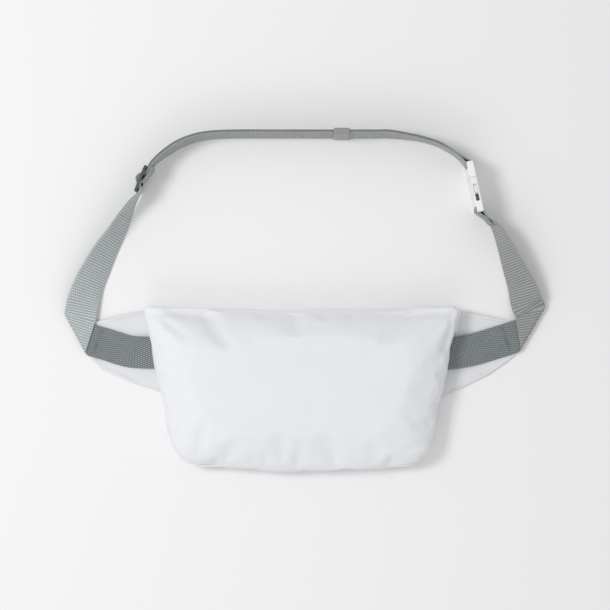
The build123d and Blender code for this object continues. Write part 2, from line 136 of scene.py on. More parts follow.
class Value:
    """A number in a material's node tree, with ordinary arithmetic."""

    def __init__(self, tree, socket):
        self.tree = tree
        self.socket = socket

    def math(self, operation, other=None, clamp=False):
        """A Math node on this value, and on a number or another value."""
        node = self.tree.nodes.new("ShaderNodeMath")
        node.operation = operation
        node.use_clamp = clamp
        self.tree.links.new(self.socket, node.inputs[0])
        if isinstance(other, Value):
            self.tree.links.new(other.socket, node.inputs[1])
        elif other is not None:
            node.inputs[1].default_value = other
        return Value(self.tree, node.outputs[0])

    def __add__(self, other):
        return self.math("ADD", other)

    def __sub__(self, other):
        return self.math("SUBTRACT", other)

    def __mul__(self, other):
        return self.math("MULTIPLY", other)

    def wave(self, pitch):
        """A cosine of this length, with the given pitch."""
        return (self * (2 * math.pi / pitch)).math("COSINE")


class Look:
    """A Principled material whose inputs follow values."""

    def __init__(self, name, base, roughness, **values):
        self.material = bpy.data.materials.new(name)
        self.material.use_nodes = True
        self.tree = self.material.node_tree
        self.inputs = self.tree.nodes["Principled BSDF"].inputs
        self.inputs["Base Color"].default_value = (*base, 1)
        self.inputs["Roughness"].default_value = roughness
        for socket, value in values.items():
            self.inputs[socket.replace("_", " ")].default_value = value

    def place(self, kind="Object"):
        """The object's own place in metres, or the named UV map's in millimetres."""
        if kind == "Object":
            return self.tree.nodes.new("ShaderNodeTexCoord").outputs["Object"]
        node = self.tree.nodes.new("ShaderNodeUVMap")
        node.uv_map = kind
        return node.outputs[0]

    def axes(self, kind="Object"):
        """The x, y and z of a place."""
        split = self.tree.nodes.new("ShaderNodeSeparateXYZ")
        self.tree.links.new(self.place(kind), split.inputs[0])
        return [Value(self.tree, socket) for socket in split.outputs]

    def noise(self, scale, detail):
        """Noise from 0 to 1 in the object's own metres."""
        node = self.tree.nodes.new("ShaderNodeTexNoise")
        node.inputs["Scale"].default_value = scale
        node.inputs["Detail"].default_value = detail
        node.inputs["Roughness"].default_value = 0.55
        self.tree.links.new(self.place(), node.inputs["Vector"])
        return Value(self.tree, node.outputs["Fac"])

    def colour(self, tone, dark, light):
        """The base colour goes from dark to light with a tone."""
        node = self.tree.nodes.new("ShaderNodeMix")
        node.data_type = "RGBA"
        self.tree.links.new(tone.socket, node.inputs[0])
        node.inputs[6].default_value = (*dark, 1)
        node.inputs[7].default_value = (*light, 1)
        self.tree.links.new(node.outputs[2], self.inputs["Base Color"])

    def roughness(self, tone, low, high):
        """The roughness goes from low to high with a tone."""
        self.tree.links.new((tone * (high - low) + low).socket, self.inputs["Roughness"])

    def bump(self, height, distance):
        """The surface rises with a height, by a distance in metres."""
        node = self.tree.nodes.new("ShaderNodeBump")
        node.inputs["Distance"].default_value = distance
        self.tree.links.new(height.socket, node.inputs["Height"])
        self.tree.links.new(node.outputs["Normal"], self.inputs["Normal"])


def shades(base, share):
    """A colour multiplied by a share."""
    return tuple(c * share for c in base)


def white_fabric(name, base=(0.82, 0.83, 0.868)):
    """Fine plain-woven polyester: thread grid, soft sheen and faint handling marks."""
    thread = 0.0007
    look = Look(name, base, 0.62, Sheen_Weight=0.25, Sheen_Roughness=0.45, Specular_IOR_Level=0.3)
    x, y, z = look.axes()
    grid = (x + z).wave(thread) * (y + z).wave(thread)
    cloudy = look.noise(26.0, 4.0)
    slubs = look.noise(420.0, 2.0)
    tone = (grid * 0.16).math("ADD", cloudy * 0.9, clamp=True)
    look.colour(tone, shades(base, 0.945), base)
    look.roughness(cloudy, 0.54, 0.7)
    look.bump(grid * 0.5 + slubs, 0.00006)
    return look.material


def webbing_material(name, gap, thread, dots_share):
    """Ribbed webbing: raised thread dots in a brick pattern over darker gaps, mixed with ribs across."""
    look = Look(name, thread, 0.6, Sheen_Weight=0.3, Sheen_Roughness=0.4)
    run, across, _ = look.axes("strap")
    dots = run.wave(2 * RIB_PITCH) * across.wave(DOT_PITCH) * dots_share
    ribs = run.wave(RIB_PITCH) * (0.8 - 0.6 * dots_share)
    raised = ((dots + ribs) * 0.85).math("ADD", 0.42, clamp=True)
    selvedge = (across.math("ABSOLUTE") - SELVEDGE_START).math("MULTIPLY", 2.5, clamp=True)
    raised = raised + (raised * -1.0 + 0.5) * selvedge
    fibre = look.noise(1500.0, 2.0)
    cloudy = look.noise(90.0, 3.0)
    tone = (raised * 0.72 + fibre * 0.2).math("ADD", cloudy * 0.14, clamp=True)
    look.colour(tone, gap, thread)
    look.roughness(fibre, 0.5, 0.75)
    look.bump(raised + fibre * 0.3, 0.00035)
    return look.material


def plastic(name, base, roughness, grain=0.00002, glow=0.0):
    """Moulded acetal: satin, with faint flow marks and a fine spark-eroded grain."""
    soft = {"Subsurface_Weight": glow, "Subsurface_Scale": 0.003, "Subsurface_Radius": (1.0, 1.0, 1.0)}
    look = Look(name, base, roughness, Specular_IOR_Level=0.5, **soft)
    marks = look.noise(60.0, 3.0)
    light = tuple(min(1.0, c * 1.03 + 0.004) for c in base)
    look.colour(marks, shades(base, 0.95), light)
    look.roughness(marks, roughness - 0.06, roughness + 0.1)
    look.bump(look.noise(2600.0, 2.0), grain)
    return look.material


def foam_material():
    """Closed-cell foam: matte and finely pitted."""
    look = Look("foam", (0.72, 0.73, 0.74), 0.9)
    cells = look.noise(900.0, 2.0)
    look.colour(cells, (0.6, 0.61, 0.62), (0.76, 0.77, 0.78))
    look.bump(cells, 0.0003)
    return look.material


def thread_material(name, base):
    """Twisted sewing thread."""
    look = Look(name, base, 0.55, Sheen_Weight=0.3)
    fibre = look.noise(3500.0, 2.0)
    look.colour(fibre, shades(base, 0.75), base)
    look.bump(fibre, 0.00008)
    return look.material


def metal_material():
    """Lacquered die-cast zip metal with patchy wear."""
    look = Look("zip_metal", (0.78, 0.78, 0.79), 0.3, Coat_Weight=0.3)
    wear = look.noise(500.0, 4.0)
    look.colour(wear, (0.66, 0.66, 0.67), (0.86, 0.86, 0.86))
    look.roughness(wear, 0.22, 0.45)
    look.bump(wear, 0.00003)
    return look.material


def floor_material():
    """A pale paper sweep."""
    look = Look("floor_paper", (0.86,) * 3, 0.95, Specular_IOR_Level=0.05)
    look.colour(look.noise(700.0, 3.0), (0.855,) * 3, (0.865,) * 3)
    return look.material


# --- stage ------------------------------------------------------------------------------------------

VIEW_CENTRE = (1.9 * MM, 77.8 * MM)
VIEW_WIDTH = 0.572
CAMERA_HEIGHT = 1.9
SENSOR = 36.0
FLOOR_HALF = 4.0


def look_at(thing, target):
    """Turns a light or camera to face a point."""
    thing.rotation_euler = (Vector(target) - thing.location).to_track_quat("-Z", "Y").to_euler()


def make_camera():
    """Straight above, as the bag is seen lying down."""
    data = bpy.data.cameras.new("camera")
    data.sensor_width = SENSOR
    data.lens = SENSOR * CAMERA_HEIGHT / VIEW_WIDTH
    data.clip_end = 20
    camera = bpy.data.objects.new("camera", data)
    camera.location = (*VIEW_CENTRE, CAMERA_HEIGHT)
    bpy.context.scene.collection.objects.link(camera)
    bpy.context.scene.camera = camera


def area_light(name, place, target, size, watts):
    """A soft rectangular light."""
    data = bpy.data.lights.new(name, "AREA")
    data.shape = "RECTANGLE"
    data.size, data.size_y = size
    data.energy = watts
    light = bpy.data.objects.new(name, data)
    light.location = place
    look_at(light, target)
    bpy.context.scene.collection.objects.link(light)


def make_stage():
    """Pale floor, even surroundings, a soft key from the left and a low fill."""
    mesh = bpy.data.meshes.new("floor")
    corners = [(x * FLOOR_HALF, y * FLOOR_HALF, 0) for x, y in ((-1, -1), (1, -1), (1, 1), (-1, 1))]
    mesh.from_pydata(corners, [], [(0, 1, 2, 3)])
    floor = bpy.data.objects.new("floor", mesh)
    floor.location.z = -0.05 * MM
    floor.data.materials.append(floor_material())
    bpy.context.scene.collection.objects.link(floor)
    world = bpy.data.worlds.new("world")
    world.use_nodes = True
    world.node_tree.nodes["Background"].inputs["Color"].default_value = (1.0, 1.0, 1.0, 1)
    world.node_tree.nodes["Background"].inputs["Strength"].default_value = 0.65
    bpy.context.scene.world = world
    area_light("key", (-1.0, 0.34, 1.62), (-0.12, 0.08, 0.0), (0.5, 0.5), 13.6)
    area_light("fill", (-0.35, -1.5, 1.2), (0.0, 0.05, 0.0), (1.4, 0.8), 4.0)
    bpy.context.scene.view_settings.view_transform = "Standard"
    bpy.context.scene.view_settings.look = "None"


# --- mesh helpers -----------------------------------------------------------------------------------


def make_piece(name, points, faces, material, body="bag", smooth=True, uvs=None):
    """A mesh object from points in millimetres, riding on a body if one is given."""
    mesh = bpy.data.meshes.new(name)
    mesh.from_pydata([tuple(p) for p in np.asarray(points) * MM], [], [tuple(f) for f in faces])
    if uvs is not None:
        layer = mesh.uv_layers.new(name="strap")
        loops = np.zeros(len(mesh.loops), int)
        mesh.loops.foreach_get("vertex_index", loops)
        layer.data.foreach_set("uv", np.asarray(uvs)[loops].ravel())
    mesh.materials.append(material)
    if smooth:
        mesh.polygons.foreach_set("use_smooth", [True] * len(mesh.polygons))
    mesh.update()
    piece = bpy.data.objects.new(name, mesh)
    bpy.context.scene.collection.objects.link(piece)
    if body:
        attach(piece, body)
    return piece


def grid_faces(rows, columns, wrap_columns=False):
    """Quads of a grid of points, joined across its columns' ends if they wrap."""
    faces = []
    last = columns if wrap_columns else columns - 1
    for i in range(rows - 1):
        for j in range(last):
            k = (j + 1) % columns
            faces.append((i * columns + j, (i + 1) * columns + j, (i + 1) * columns + k, i * columns + k))
    return faces


def at_height(line, height):
    """Plan points lifted to a height."""
    return np.column_stack([line, np.full(len(line), float(height))])


def end_faces(rows, columns):
    """The two faces that close the ends of a tube of points."""
    last = (rows - 1) * columns
    return [tuple(range(columns)), tuple(reversed(range(last, last + columns)))]


def directions(line):
    """The unit vector along a line, at each of its points."""
    forward = np.gradient(line, axis=0)
    return forward / np.linalg.norm(forward, axis=1)[:, None]


def tube(name, line, radius, material, body="bag", sides=8):
    """A round cord of thread along a line of points in millimetres."""
    line = np.asarray(line, float)
    up = np.array([0.0, 0.0, 1.0])
    points = []
    for centre, direction in zip(line, directions(line)):
        side = np.cross(direction, up)
        if np.linalg.norm(side) < 1e-3:
            side = np.array([1.0, 0.0, 0.0])
        side /= np.linalg.norm(side)
        top = np.cross(side, direction)
        for k in range(sides):
            angle = 2 * math.pi * k / sides
            points.append(centre + radius * (math.cos(angle) * side + math.sin(angle) * top))
    faces = grid_faces(len(line), sides, True) + end_faces(len(line), sides)
    return make_piece(name, points, faces, material, body)


def bevel(piece, width_mm):
    """Rounds the sharp edges of a moulded piece."""
    modifier = piece.modifiers.new("edge", "BEVEL")
    modifier.width = width_mm * MM
    modifier.segments = 3
    modifier.limit_method = "ANGLE"
    modifier.angle_limit = math.radians(40)


def dress(node, look, bevel_mm=0.0):
    """Gives a CAD node its finished material, and rounds its edges."""
    piece = frame["nodes"][node]
    piece.data.materials.clear()
    piece.data.materials.append(LOOKS[look])
    if bevel_mm:
        bevel(piece, bevel_mm)


# --- straps -----------------------------------------------------------------------------------------


def smooth_path(points, step=ROW_STEP):
    """Evenly spaced rows (x, y, lean, lowest edge) on a Catmull-Rom line through guide points."""
    p = np.asarray(points, float)
    p = np.vstack([2 * p[0] - p[1], p, 2 * p[-1] - p[-2]])
    dense = []
    for i in range(1, len(p) - 2):
        p0, p1, p2, p3 = p[i - 1 : i + 3]
        gaps = [max(np.linalg.norm(b[:2] - a[:2]), 1e-6) ** 0.5 for a, b in ((p0, p1), (p1, p2), (p2, p3))]
        m1 = (p2 - p1) + gaps[1] * ((p1 - p0) / gaps[0] - (p2 - p0) / (gaps[0] + gaps[1]))
        m2 = (p2 - p1) + gaps[1] * ((p3 - p2) / gaps[2] - (p3 - p1) / (gaps[1] + gaps[2]))
        count = max(8, int(np.linalg.norm(p2[:2] - p1[:2]) / 0.25))
        for t in np.linspace(0, 1, count, endpoint=False):
            a = 2 * t**3 - 3 * t**2 + 1
            b = t**3 - 2 * t**2 + t
            c = -2 * t**3 + 3 * t**2
            d = t**3 - t**2
            dense.append(a * p1 + b * m1 + c * p2 + d * m2)
    dense.append(p[-2])
    dense = np.array(dense)
    run = np.concatenate([[0], np.cumsum(np.linalg.norm(np.diff(dense[:, :2], axis=0), axis=1))])
    places = np.linspace(0, run[-1], max(2, int(round(run[-1] / step))) + 1)
    return np.column_stack([np.interp(places, run, dense[:, k]) for k in range(4)]), places


def section(half_width, half_thickness):
    """The webbing's closed section: (across, through) points with soft selvedges."""
    flat = [-1, -0.985, -0.94, -0.84, -0.66, -0.45, -0.2, 0.0, 0.2, 0.45, 0.66, 0.84, 0.94, 0.985, 1]
    thick = [0.45, 0.8, 0.98, 1, 0.97, 0.95, 0.95, 0.95, 0.95, 0.95, 0.97, 1, 0.98, 0.8, 0.45]
    top = [(a * half_width, t * half_thickness) for a, t in zip(flat, thick)]
    bottom = [(a, -t) for a, t in reversed(top)]
    return np.array(top + bottom)


def strap_points(rows, places, fold=None):
    """Every point of a strap, row by row, with its (run, across) in millimetres."""
    xy = rows[:, :2]
    forward = directions(xy)
    left = np.column_stack([-forward[:, 1], forward[:, 0]])
    tilt = np.radians(rows[:, 2])
    half = WEBBING_WIDTH / 2
    height = rows[:, 3] + half * np.abs(np.cos(tilt)) + WEBBING / 2 * np.abs(np.sin(tilt))
    shape = section(half, WEBBING / 2)
    across = np.column_stack([left * np.sin(tilt)[:, None], np.cos(tilt)])
    through = np.column_stack([left * np.cos(tilt)[:, None], -np.sin(tilt)])
    rib = 1 + 0.09 * np.cos(2 * np.pi * places / RIB_PITCH)
    centre = np.column_stack([xy, height])
    points = (
        centre[:, None, :]
        + shape[None, :, 0, None] * across[:, None, :]
        + (shape[None, :, 1] * rib[:, None])[:, :, None] * through[:, None, :]
    )
    if fold is not None:
        points = fold(points)
    uvs = np.stack(np.broadcast_arrays(places[:, None], shape[None, :, 0]), axis=-1)
    return points, uvs


# Which of a strap's two faces take the dark look, which is partly the weave's back face and partly painted
# shade, for each name of its lighter side
DARK_SIDES = {"first": (False, True), "both": (False, False), "none": (True, True)}


# By default a strap's lighter faces take the webbing's darker copy, which carries painted shade.
def joined_strap(name, parts, light_side, body="bag", replaces=(), light="webbing_painted_shaded"):
    """One strap piece from (points, uvs) stretches, capped at both ends.

    light_side says which face is the lighter one, as in DARK_SIDES, or "return"
    for a loop whose way back is lighter than its way out. The darker faces stand partly for the weave's
    back face and partly for painted shade; light names the look of the lighter faces, a copy of the
    webbing with painted light or painted shade.
    """
    points = np.concatenate([part[0] for part in parts])
    uvs = np.concatenate([part[1] for part in parts])
    count, ring = points.shape[:2]
    faces = grid_faces(count, ring, True)
    if light_side == "return":
        indices = [int(f // ring < count // 2) for f in range(len(faces))]
    else:
        indices = [int(DARK_SIDES[light_side][f % ring >= ring // 2]) for f in range(len(faces))]
    faces += end_faces(count, ring)
    uvs = uvs.reshape(-1, 2)
    piece = make_piece(name, points.reshape(-1, 3), faces, LOOKS[light], body, uvs=uvs)
    piece.data.materials.append(LOOKS["webbing_back_and_shade"])
    piece.data.polygons.foreach_set("material_index", indices + [0, 0])
    if replaces:
        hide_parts(*replaces)
    return piece


def strap_along(name, guide, light_side, body="bag", replaces=()):
    """A strap piece through guide points (x, y, lean, lowest edge)."""
    return joined_strap(name, [strap_points(*smooth_path(guide))], light_side, body, replaces)


def round_bar(point_of, bar_x, radius, turns, lift):
    """Guide points round a bar, where the strap points along each turn."""
    guide = []
    for turn in turns:
        angle = math.radians(turn)
        guide.append((*point_of(bar_x + radius * math.sin(angle), -radius * math.cos(angle)), 0, lift))
    return guide


def backwards(guide):
    """The same guide points, travelled the other way."""
    return [(x, y, -lean, low) for x, y, lean, low in reversed(guide)]


def beside(guide, offset):
    """Guide points moved to the belt's outer side, square to the line through them."""
    rows = np.asarray(guide, float)
    forward = directions(rows[:, :2])
    rows[:, 0] -= forward[:, 1] * offset
    rows[:, 1] += forward[:, 0] * offset
    return [tuple(row) for row in rows]


FOLD_RADIUS = WEBBING + LAYER_GAP / 2


def diagonal_fold(middle, heading, side, low):
    """Bends flat webbing over a diagonal line, back on top of itself.

    Points past the line, on its given side, go round a roll and come back over the lower layer.
    """
    axis = np.array([*along(heading), 0.0])
    outwards = np.array([*left_of(heading), 0.0]) * side
    origin = np.array([*middle, 0.0])

    def bend(points):
        away = points - origin
        past = away @ outwards
        run = away @ axis
        arm = FOLD_RADIUS - (points[..., 2] - low)
        angle = np.clip(past / FOLD_RADIUS, 0, math.pi)
        beyond = np.clip(past - math.pi * FOLD_RADIUS, 0, None)
        flat = np.clip(past, None, 0) + arm * np.sin(angle) - beyond
        height = low + FOLD_RADIUS - arm * np.cos(angle)
        lying = origin + run[..., None] * axis + flat[..., None] * outwards
        return lying + height[..., None] * np.array([0, 0, 1.0])

    return bend


# --- belt -------------------------------------------------------------------------------------------

# Guide points: plan place, lean to the belt's outer side, height of the lowest edge
LEFT_FOLD = np.array([-214.0, 49.5])
LEFT_FOLD_HEADING = 118.0
LEFT_WING_HEADING = 164.0
LEFT_WING_RUN = [
    (-127.0, 33.6, 90, 5.4),
    (-147.0, 33.4, 90, 4.6),
    (-163.0, 34.6, 90, 3.6),
    (-184.0, 40.9, 90, 3.2),
]
LEFT_RISE = [
    (-205.0, 82.0, 76, 3.4),
    (-199.3, 98.0, 63, 0.8),
    (-191.8, 113.4, 52, 0.6),
    (-183.6, 129.0, 41, 0.6),
    (-174.0, 144.5, 29, 0.6),
    (-165.6, 159.9, 19, 0.9),
    (-158.2, 173.2, 7, 2.8),
]

RIGHT_FOLD = np.array([216.0, 54.5])
RIGHT_FOLD_HEADING = 60.0
RIGHT_WING_HEADING = 20.0
RIGHT_WING_RUN = [
    (124.0, 31.2, 90, 5.4),
    (146.0, 33.6, 90, 4.6),
    (163.0, 37.2, 90, 3.6),
    (184.0, 43.5, 90, 3.2),
]
RIGHT_RISE = [
    (209.4, 78.0, 76, 4.4),
    (203.6, 96.0, 53, 1.2),
    (195.3, 115.0, 35, 0.6),
    (186.6, 136.0, 20, 0.7),
    (179.0, 150.5, 9, 0.8),
]
RIGHT_LOOP_HEADING = -47.0

ARCH_LEAN = 6.0
ARCH_LIFT = 1.5
ARCH_RISE = [
    (-137.8, 210.9, 1, 3.4),
    (-132.9, 215.4, 3, 2.6),
    (-127.0, 219.8, 5, 2.0),
    (-116.8, 226.6, ARCH_LEAN, ARCH_LIFT),
    (-100.4, 233.2, ARCH_LEAN, ARCH_LIFT),
    (-84.0, 236.0, ARCH_LEAN, ARCH_LIFT),
]
ARCH_TOP = [(x, ARCH_Y, ARCH_LEAN, ARCH_LIFT) for x in (-62.0, -20.0, 36.0, 68.0, 80.0)]
ARCH_FALL = [(106.0, 233.4, 1, ARCH_LIFT)]
ARCH_END_HEADING = -40.0
ARCH_END = [(126.5, 227.0, 0, 2.2)]

# Radii of a layer's middle round the buckle's bars and round the tri-glide's
LOOP_RADIUS = 1.7 + LAYER_GAP + WEBBING / 2
GLIDE_LOOP_RADIUS = 1.5 + LAYER_GAP + WEBBING / 2
MALE_BAR_X = -21.6
FEMALE_BAR_X = 22.2
GLIDE_EXIT = 14.0
UNDER_BAR = 2.15
BEND_LENGTH = 52.0
GLIDE_BEND_START = (-165.6, 159.9)


def glide_guide(places):
    """Guide points from (x, inward z) places on the tri-glide's plane."""
    return [(*glide_point(x, z), 0, GLIDE_LIFT) for x, z in places]


def metres(guide_point):
    """A guide point as a place in metres."""
    x, y, _, low = guide_point
    return (float(x) * MM, float(y) * MM, (low + WEBBING_WIDTH / 2) * MM)


def folded_stretches(run, run_heading, fold, fold_heading, side, rise):
    """The stretches of a strap sewn along a wing, folded over at its tip, and rising on edge."""
    reach = 17.0  # past the fold's middle, far enough for the webbing's width to leave the fold
    low = run[-1][3]
    outwards = left_of(fold_heading) * side
    roll = math.pi * FOLD_RADIUS
    line = fold - outwards * roll / 2
    before = fold - along(run_heading) * reach
    past = fold + along(run_heading) * reach
    flat_rows, flat_places = smooth_path([*run, (*before, 90, low), (*fold, 90, low), (*past, 90, low)])
    flat = strap_points(flat_rows, flat_places, diagonal_fold(line, fold_heading, side, low))

    folded = 2 * fold_heading - run_heading
    centre = (past - line) @ outwards * -outwards + (past - line) @ along(fold_heading) * along(fold_heading)
    start = line + centre + outwards * roll
    upper = low + LAYER_PITCH
    lead = 12.0
    guide = [(*(start - along(folded) * lead), 90, upper), (*start, 90, upper), *rise]
    rows, places = smooth_path(guide)
    kept = np.searchsorted(places, lead + ROW_STEP / 2)
    rows, places = rows[kept:], places[kept:] - lead + flat_places[-1]
    rows[:, 2] = rows[:, 2] - 180 if side > 0 else -rows[:, 2]
    return [flat, strap_points(rows, places)]


def make_left_strap():
    """From the left side of the bag, over the wing tip and through the tri-glide, in two pieces."""
    over = GLIDE_LOOP_RADIUS + LAYER_PITCH
    hump = [(-over * 0.71, -over * 0.71), (0, -over), (over * 0.71, -over * 0.71)]
    slope = 8.4
    entry = (-GLIDE_EXIT, UNDER_BAR)
    through = glide_guide([entry, (-slope, UNDER_BAR), *hump, (slope, UNDER_BAR), (GLIDE_EXIT, UNDER_BAR)])
    rise = [*LEFT_RISE, *through]
    stretches = folded_stretches(LEFT_WING_RUN, LEFT_WING_HEADING, LEFT_FOLD, LEFT_FOLD_HEADING, 1, rise)
    flat, (points, uvs) = stretches
    cut = int(np.argmax(points[:, :, 1].mean(axis=1) > GLIDE_BEND_START[1]))
    lower = (points[: cut + 1], uvs[: cut + 1])
    upper = (points[cut:], uvs[cut:])
    nodes = ("left_wing_webbing", "left_belt_strap")
    # The left strap's lighter faces take the webbing's lighter copy, which carries painted light.
    joined_strap("left_strap", [flat, lower], "first", replaces=nodes, light="webbing_painted_lit")
    name, nodes = "strap_through_glide_weave", ("strap_through_glide",)
    piece = joined_strap(name, [upper], "first", body=None, replaces=nodes, light="webbing_painted_lit")
    metres((*GLIDE_BEND_START, 0, GLIDE_LIFT))
    metres(through[0])
    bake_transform(piece)


def make_end_loop():
    """The strap's sewn end, folded round the tri-glide's middle bar."""
    second = UNDER_BAR + LAYER_PITCH
    third = second + LAYER_PITCH
    outward = glide_guide([(GLIDE_EXIT, third), (9.4, third)])
    fold = round_bar(glide_point, 0.0, GLIDE_LOOP_RADIUS, range(-150, 31, 30), GLIDE_LIFT)
    back = glide_guide([(7.6, second - 0.3), (10.4, second), (GLIDE_EXIT, second)])
    guide = [*outward, *fold, *back]
    strap_along("strap_end_weave", guide, "both", body="glide", replaces=("strap_end_loop",))


def arch_guide():
    """The middle line of the belt's two layers, from the tri-glide to the split by the buckle."""
    start = glide_guide([(GLIDE_EXIT, UNDER_BAR + LAYER_PITCH / 2)])
    return [*start, *ARCH_RISE, *ARCH_TOP, *ARCH_FALL]


def make_arch():
    """Both layers of the long strap, from the tri-glide at one end to the buckle at the other."""
    middle = arch_guide()
    bend_end = glide_guide([(GLIDE_EXIT + BEND_LENGTH, UNDER_BAR)])[0]
    # The outer layer takes the dark look all over, partly the weave's back face and partly painted shade.
    for name, side, light_side in (("outer", 1, "none"), ("inner", -1, "both")):
        node = f"long_strap_{name}"
        guide = beside(middle, side * LAYER_PITCH / 2)
        piece = strap_along(f"{node}_weave", guide, light_side, body=None, replaces=(node,))
        metres(guide[0])
        metres(bend_end)
        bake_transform(piece)

    lead = [(*(buckle_point(MALE_BAR_X, 0) - along(ARCH_END_HEADING) * 9), 0, BUCKLE_LIFT)]
    last = [ARCH_TOP[-1], *ARCH_FALL, *ARCH_END, *lead]
    outer = beside(last, LAYER_PITCH / 2)[1:]
    inner = beside(last, -LAYER_PITCH / 2)[1:]
    turned = ARCH_END_HEADING - BUCKLE_HEADING
    turns = [-turned + step for step in range(0, 181, 20)]
    fold = round_bar(buckle_point, MALE_BAR_X, LOOP_RADIUS, turns, BUCKLE_LIFT)
    guide = [*outer, *fold, *backwards(inner)]
    piece = strap_along("strap_buckle_weave", guide, "return", body=None, replaces=("strap_buckle_loop",))
    metres(ARCH_FALL[0])
    metres(lead[0])
    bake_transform(piece)


def make_right_strap():
    """From the right side of the bag, round the female half's bar, to its sewn tail."""
    bar = buckle_point(FEMALE_BAR_X, 0)
    ahead, outside = along(RIGHT_LOOP_HEADING), left_of(RIGHT_LOOP_HEADING)
    turned = RIGHT_LOOP_HEADING - BUCKLE_HEADING
    turns = [180 - turned + step for step in range(0, 181, 20)]
    fold = round_bar(buckle_point, FEMALE_BAR_X, LOOP_RADIUS, turns, BUCKLE_LIFT)

    def beside_bar(places):
        """Guide points from (distance past the bar, distance to its outer side) places."""
        return [(*(bar + ahead * run + outside * off), 0, BUCKLE_LIFT) for run, off in places]

    tail = beside_bar([(17, -0.85), (8, -0.85), (5, -1.5)])
    lead = beside_bar([(5, 1.5), (10, 0.85)])
    rise = [*RIGHT_RISE, *reversed([*tail, *fold, *lead])]
    stretches = folded_stretches(RIGHT_WING_RUN, RIGHT_WING_HEADING, RIGHT_FOLD, RIGHT_FOLD_HEADING, -1, rise)
    nodes = ("right_wing_webbing", "right_belt_strap")
    joined_strap("right_strap", stretches, "first", replaces=nodes)


def rounded_section(half_y, half_z, corner, steps):
    """A closed rounded-box section: (y, z, normal y, normal z) points, its long sides undivided."""
    points = []
    for side_y, side_z, first in ((1, 1, 0), (-1, 1, 90), (-1, -1, 180), (1, -1, 270)):
        for step in range(steps):
            angle = math.radians(first + 90 / (steps - 1) * step)
            ny, nz = math.cos(angle), math.sin(angle)
            y = side_y * (half_y - corner) + corner * ny
            z = side_z * (half_z - corner) + corner * nz
            points.append((y, z, ny, nz))
    return points


def finer_loop(loop, step):
    """A closed loop of (y, z, normal y, normal z) with its long sides divided."""
    finer = []
    for a, b in zip(loop, loop[1:] + loop[:1]):
        count = max(1, int(math.dist(a[:2], b[:2]) / step))
        for k in range(count):
            t = k / count
            y, z, ny, nz = (p + (q - p) * t for p, q in zip(a, b))
            size = math.hypot(ny, nz)
            finer.append((y, z, ny / size, nz / size))
    return finer


def band_faces(rows, ring):
    """The faces of a band: its outer and inner layers of points, and the rims between them."""
    inner = rows * ring
    outside = grid_faces(rows, ring, True)
    inside = [tuple(inner + v for v in reversed(face)) for face in outside]
    rims = []
    for row in (0, rows - 1):
        for j in range(ring):
            a, b = row * ring + j, row * ring + (j + 1) % ring
            rims.append((a, b, inner + b, inner + a) if row == 0 else (b, a, inner + a, inner + b))
    return outside + inside + rims


def make_keeper():
    """The elastic band that holds both layers together: a rounded loop round their section."""
    low, high = mm_box("keeper")
    length = high[0] - low[0]
    middle = (low + high) / 2
    wall = 1.0
    slack = 0.35
    half_y = WEBBING + LAYER_GAP / 2 + slack + wall / 2
    half_z = WEBBING_WIDTH / 2 + slack + wall / 2
    lean = math.radians(ARCH_LEAN)
    outline = finer_loop(rounded_section(half_y, half_z, 1.2, 5), 1.0)
    rows = 2 * int(length / 0.6) + 1
    points = []
    for layer in (1, -1):
        for i in range(rows):
            x = -length / 2 + length * i / (rows - 1)
            edge = min(1.0, (length / 2 - abs(x)) / 0.8)
            bulge = 0.12 * math.cos(math.pi * x / length) + 0.05 * math.cos(2 * math.pi * x / 1.2)
            off = layer * wall / 2 * (0.55 + 0.45 * edge) + (bulge if layer > 0 else 0)
            for y, z, ny, nz in outline:
                py, pz = y + ny * off, z + nz * off
                leaned_y = py * math.cos(lean) + pz * math.sin(lean)
                leaned_z = pz * math.cos(lean) - py * math.sin(lean)
                points.append((middle[0] + x, middle[1] + leaned_y, middle[2] + leaned_z))
    faces = band_faces(rows, len(outline))
    around = np.cumsum([0] + [math.dist(a[:2], b[:2]) for a, b in zip(outline, outline[1:])])
    uvs = [(around[i % len(outline)], point[0]) for i, point in enumerate(points)]
    look = LOOKS["keeper"]
    piece = make_piece("keeper_weave", points, faces, look, "keeper_band", uvs=uvs)
    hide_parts("keeper")


# --- bag --------------------------------------------------------------------------------------------

BAG_MIDDLE_X = -1.5
BAG_TOP_HALF = BAG_HIGH[0] + 4.6
BAG_HALF_HEIGHT = BAG_HIGH[1]
BAG_SLOPE = 32.0 / (2 * BAG_HALF_HEIGHT)
BOTTOM_CORNER = 22.0
TOP_CORNER = 5.0
SWELL_CAP = 6.5
TOP_SLOPE_DROP = 7.0


def corner_arc(before, corner, after, radius, count):
    """Points on the rounding of one plan corner."""
    a = (before - corner) / np.linalg.norm(before - corner)
    b = (after - corner) / np.linalg.norm(after - corner)
    half = math.acos(np.clip(a @ b, -1, 1)) / 2
    middle = corner + (a + b) / np.linalg.norm(a + b) * radius / math.sin(half)
    start = corner + a * radius / math.tan(half) - middle
    end = corner + b * radius / math.tan(half) - middle
    first, last = (math.atan2(v[1], v[0]) for v in (start, end))
    sweep = (last - first + math.pi) % (2 * math.pi) - math.pi
    turns = [first + sweep * t for t in np.linspace(0, 1, count)]
    return [middle + radius * np.array([math.cos(turn), math.sin(turn)]) for turn in turns]


def rounded_outline(corners, radii, counts):
    """A closed plan line from corners, each rounded, with count points on each side after its corner."""
    corners = [np.array(c, float) for c in corners]
    arcs = []
    for i, radius in enumerate(radii):
        arcs.append(corner_arc(corners[i - 1], corners[i], corners[(i + 1) % len(corners)], radius, 7))
    line = []
    for i, arc in enumerate(arcs):
        line.extend(arc)
        following = arcs[(i + 1) % len(arcs)][0]
        line.extend(arc[-1] + (following - arc[-1]) * k / counts[i] for k in range(1, counts[i]))
    return np.array(line)


